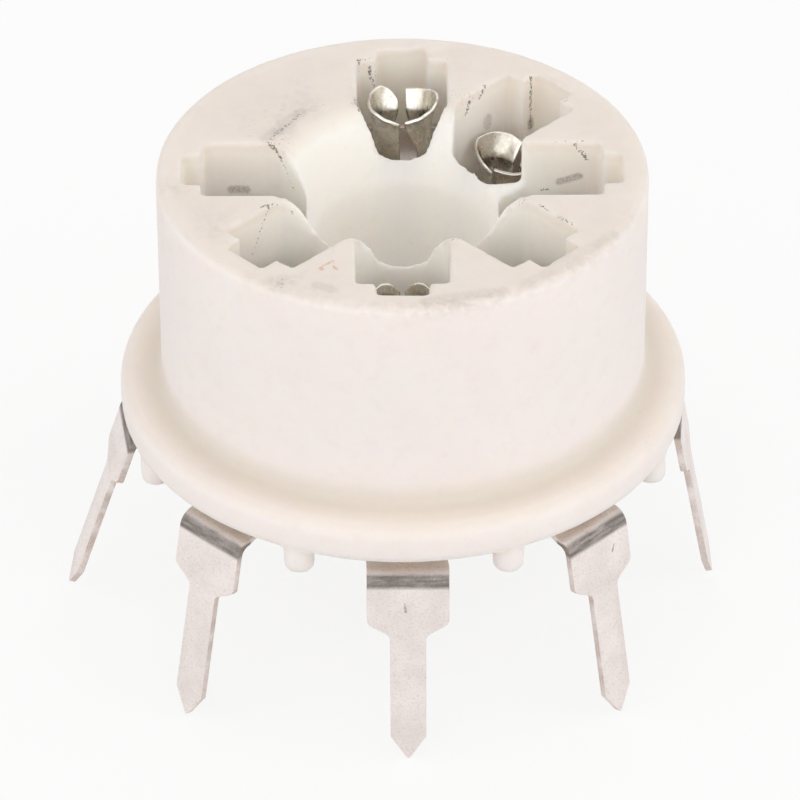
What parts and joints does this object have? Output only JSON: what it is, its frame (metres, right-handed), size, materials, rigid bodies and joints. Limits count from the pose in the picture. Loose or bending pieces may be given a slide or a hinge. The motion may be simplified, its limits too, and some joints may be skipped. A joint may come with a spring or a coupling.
{
  "type": "vacuum tube socket",
  "caption": "Round white ceramic socket for a miniature vacuum tube, with sprung pin contacts around a central dish and bent solder tails for a circuit board.",
  "frame": {"origin": "on the socket's axis, in the plane of the flange's underside", "axes": "+Z along the centre hole, towards the face that the tube plugs into; the gap in the circle of contacts lies at 135 degrees from +X towards +Y"},
  "size_m": [0.0216, 0.0197, 0.0165],
  "materials": {
    "white_ceramic": "unglazed, matt, slightly scuffed",
    "tinned_strip": "dull tin plate",
    "spring_leaf": "bright silver plate"
  },
  "bodies": {
    "socket": {"ceramic_body": "white_ceramic", "contact_1": "tinned_strip", "contact_2": "tinned_strip", "contact_3": "tinned_strip", "contact_4": "tinned_strip", "contact_5": "tinned_strip", "contact_6": "tinned_strip", "contact_7": "tinned_strip"},
    "contact_1_left_leaf": {"contact_1_left_leaf": "spring_leaf"},
    "contact_1_right_leaf": {"contact_1_right_leaf": "spring_leaf"},
    "contact_2_left_leaf": {"contact_2_left_leaf": "spring_leaf"},
    "contact_2_right_leaf": {"contact_2_right_leaf": "spring_leaf"},
    "contact_3_left_leaf": {"contact_3_left_leaf": "spring_leaf"},
    "contact_3_right_leaf": {"contact_3_right_leaf": "spring_leaf"},
    "contact_4_left_leaf": {"contact_4_left_leaf": "spring_leaf"},
    "contact_4_right_leaf": {"contact_4_right_leaf": "spring_leaf"},
    "contact_5_left_leaf": {"contact_5_left_leaf": "spring_leaf"},
    "contact_5_right_leaf": {"contact_5_right_leaf": "spring_leaf"},
    "contact_6_left_leaf": {"contact_6_left_leaf": "spring_leaf"},
    "contact_6_right_leaf": {"contact_6_right_leaf": "spring_leaf"},
    "contact_7_left_leaf": {"contact_7_left_leaf": "spring_leaf"},
    "contact_7_right_leaf": {"contact_7_right_leaf": "spring_leaf"}
  },
  "joints": [
    {"name": "contact_1_left_flex", "type": "hinge", "parent": "socket", "child": "contact_1_left_leaf", "pos_m": [-0.00476, -0.00116, 0.00257], "axis": [1, 0, 0], "range_deg": [0, 2], "stiffness_Nm_per_rad": 0.08},
    {"name": "contact_1_right_flex", "type": "hinge", "parent": "socket", "child": "contact_1_right_leaf", "pos_m": [-0.00476, 0.00116, 0.00257], "axis": [-1, 0, 0], "range_deg": [0, 2], "stiffness_Nm_per_rad": 0.08},
    {"name": "contact_2_left_flex", "type": "hinge", "parent": "socket", "child": "contact_2_left_leaf", "pos_m": [-0.00255, -0.00419, 0.00257], "axis": [0.7071, 0.7071, 0], "range_deg": [0, 2], "stiffness_Nm_per_rad": 0.08},
    {"name": "contact_2_right_flex", "type": "hinge", "parent": "socket", "child": "contact_2_right_leaf", "pos_m": [-0.00419, -0.00255, 0.00257], "axis": [-0.7071, -0.7071, 0], "range_deg": [0, 2], "stiffness_Nm_per_rad": 0.08},
    {"name": "contact_3_left_flex", "type": "hinge", "parent": "socket", "child": "contact_3_left_leaf", "pos_m": [0.00116, -0.00476, 0.00257], "axis": [0, 1, 0], "range_deg": [0, 2], "stiffness_Nm_per_rad": 0.08},
    {"name": "contact_3_right_flex", "type": "hinge", "parent": "socket", "child": "contact_3_right_leaf", "pos_m": [-0.00116, -0.00476, 0.00257], "axis": [0, -1, 0], "range_deg": [0, 2], "stiffness_Nm_per_rad": 0.08},
    {"name": "contact_4_left_flex", "type": "hinge", "parent": "socket", "child": "contact_4_left_leaf", "pos_m": [0.00419, -0.00255, 0.00257], "axis": [-0.7071, 0.7071, 0], "range_deg": [0, 2], "stiffness_Nm_per_rad": 0.08},
    {"name": "contact_4_right_flex", "type": "hinge", "parent": "socket", "child": "contact_4_right_leaf", "pos_m": [0.00255, -0.00419, 0.00257], "axis": [0.7071, -0.7071, 0], "range_deg": [0, 2], "stiffness_Nm_per_rad": 0.08},
    {"name": "contact_5_left_flex", "type": "hinge", "parent": "socket", "child": "contact_5_left_leaf", "pos_m": [0.00476, 0.00116, 0.00257], "axis": [-1, 0, 0], "range_deg": [0, 2], "stiffness_Nm_per_rad": 0.08},
    {"name": "contact_5_right_flex", "type": "hinge", "parent": "socket", "child": "contact_5_right_leaf", "pos_m": [0.00476, -0.00116, 0.00257], "axis": [1, 0, 0], "range_deg": [0, 2], "stiffness_Nm_per_rad": 0.08},
    {"name": "contact_6_left_flex", "type": "hinge", "parent": "socket", "child": "contact_6_left_leaf", "pos_m": [0.00255, 0.00419, 0.00257], "axis": [-0.7071, -0.7071, 0], "range_deg": [0, 2], "stiffness_Nm_per_rad": 0.08},
    {"name": "contact_6_right_flex", "type": "hinge", "parent": "socket", "child": "contact_6_right_leaf", "pos_m": [0.00419, 0.00255, 0.00257], "axis": [0.7071, 0.7071, 0], "range_deg": [0, 2], "stiffness_Nm_per_rad": 0.08},
    {"name": "contact_7_left_flex", "type": "hinge", "parent": "socket", "child": "contact_7_left_leaf", "pos_m": [-0.00116, 0.00476, 0.00257], "axis": [0, -1, 0], "range_deg": [0, 2], "stiffness_Nm_per_rad": 0.08},
    {"name": "contact_7_right_flex", "type": "hinge", "parent": "socket", "child": "contact_7_right_leaf", "pos_m": [0.00116, 0.00476, 0.00257], "axis": [0, 1, 0], "range_deg": [0, 2], "stiffness_Nm_per_rad": 0.08}
  ]
}
